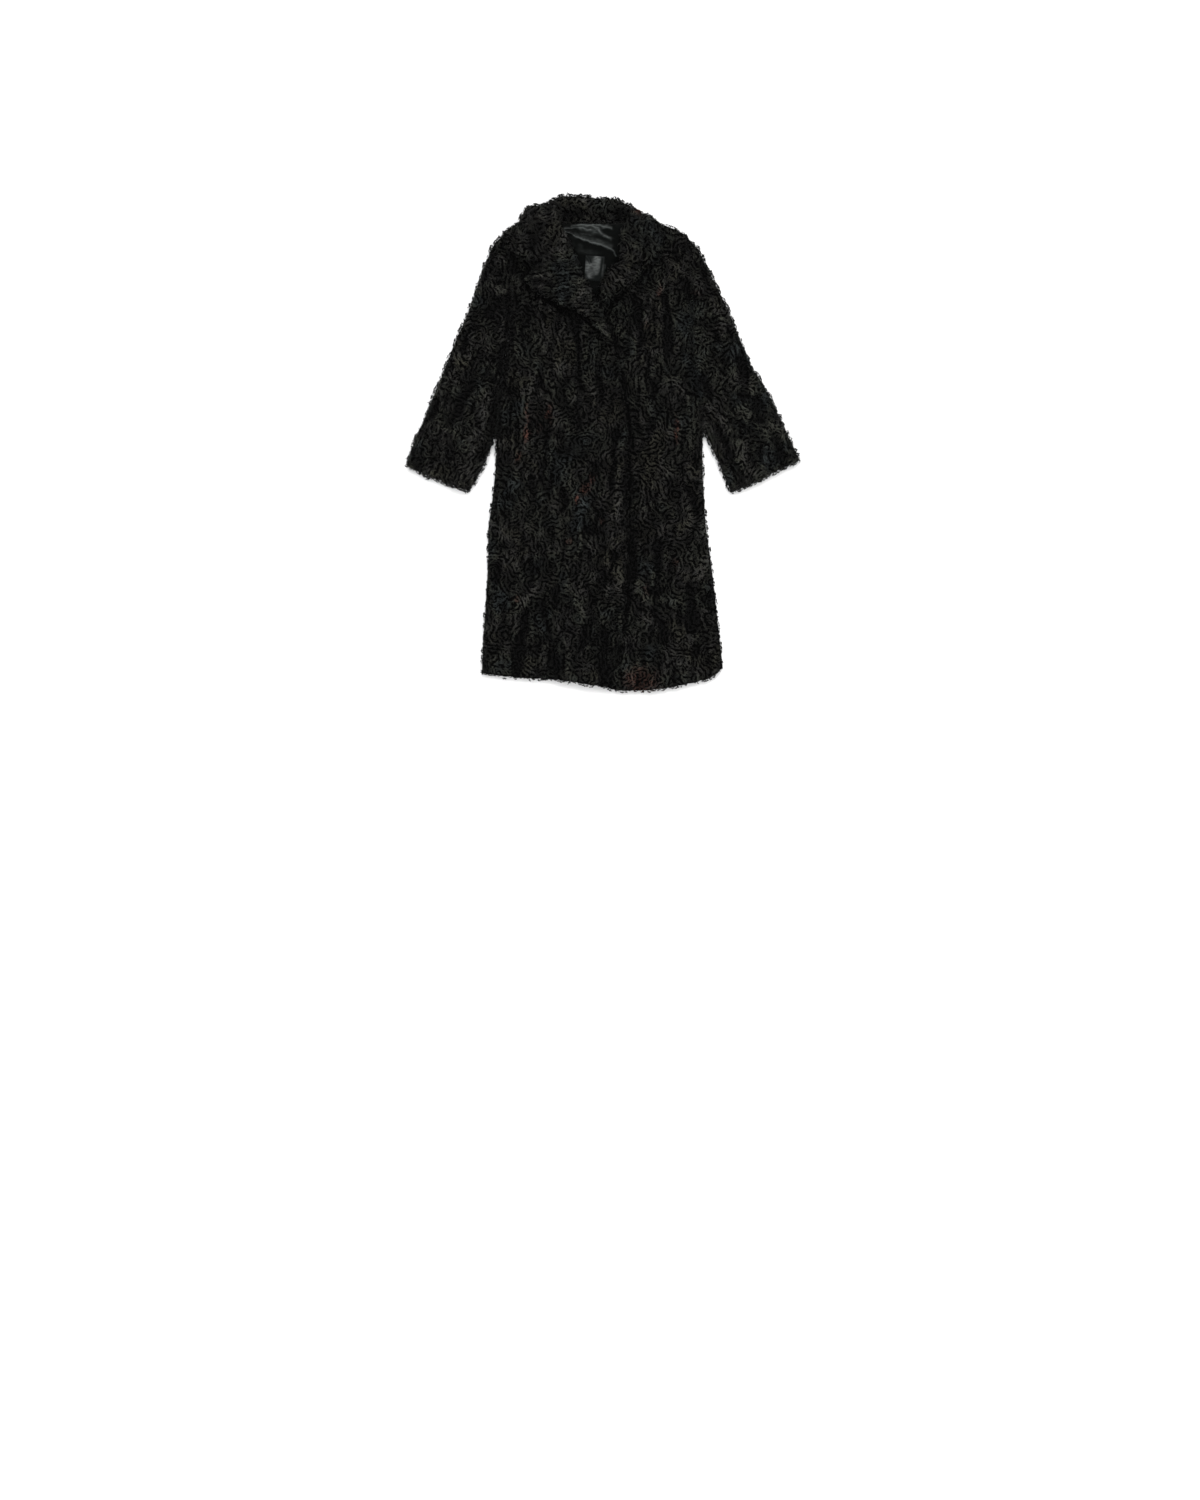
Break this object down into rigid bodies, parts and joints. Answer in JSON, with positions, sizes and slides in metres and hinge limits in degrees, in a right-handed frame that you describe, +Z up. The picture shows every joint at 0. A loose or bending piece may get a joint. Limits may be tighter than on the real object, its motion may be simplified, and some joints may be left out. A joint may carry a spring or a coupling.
{
  "type": "fur coat",
  "caption": "Knee-length coat of tight black lamb curl with notched collar and lapels, laid flat on its back with the right front over the left.",
  "frame": {"origin": "middle of the coat's underside, on the surface it lies on", "axes": "+Z up from the surface, +Y from the hem towards the collar, +X towards the wearer's left"},
  "size_m": [0.8858, 1.1138, 0.0511],
  "materials": {
    "fur": "tight glossy black lamb curl with faded brown patches",
    "fur_trim": "the same curl, brushed a little looser",
    "lining": "black satin with soft creases",
    "label": "plain grey satin, bare"
  },
  "bodies": {
    "root": {"back_panel": "fur", "front_right": "fur", "front_left": "fur", "sleeve_right": "fur", "sleeve_left": "fur", "collar": "fur_trim", "lapel_right": "fur_trim", "lapel_left": "fur_trim", "neck_lining": "lining", "label": "label"}
  },
  "joints": []
}
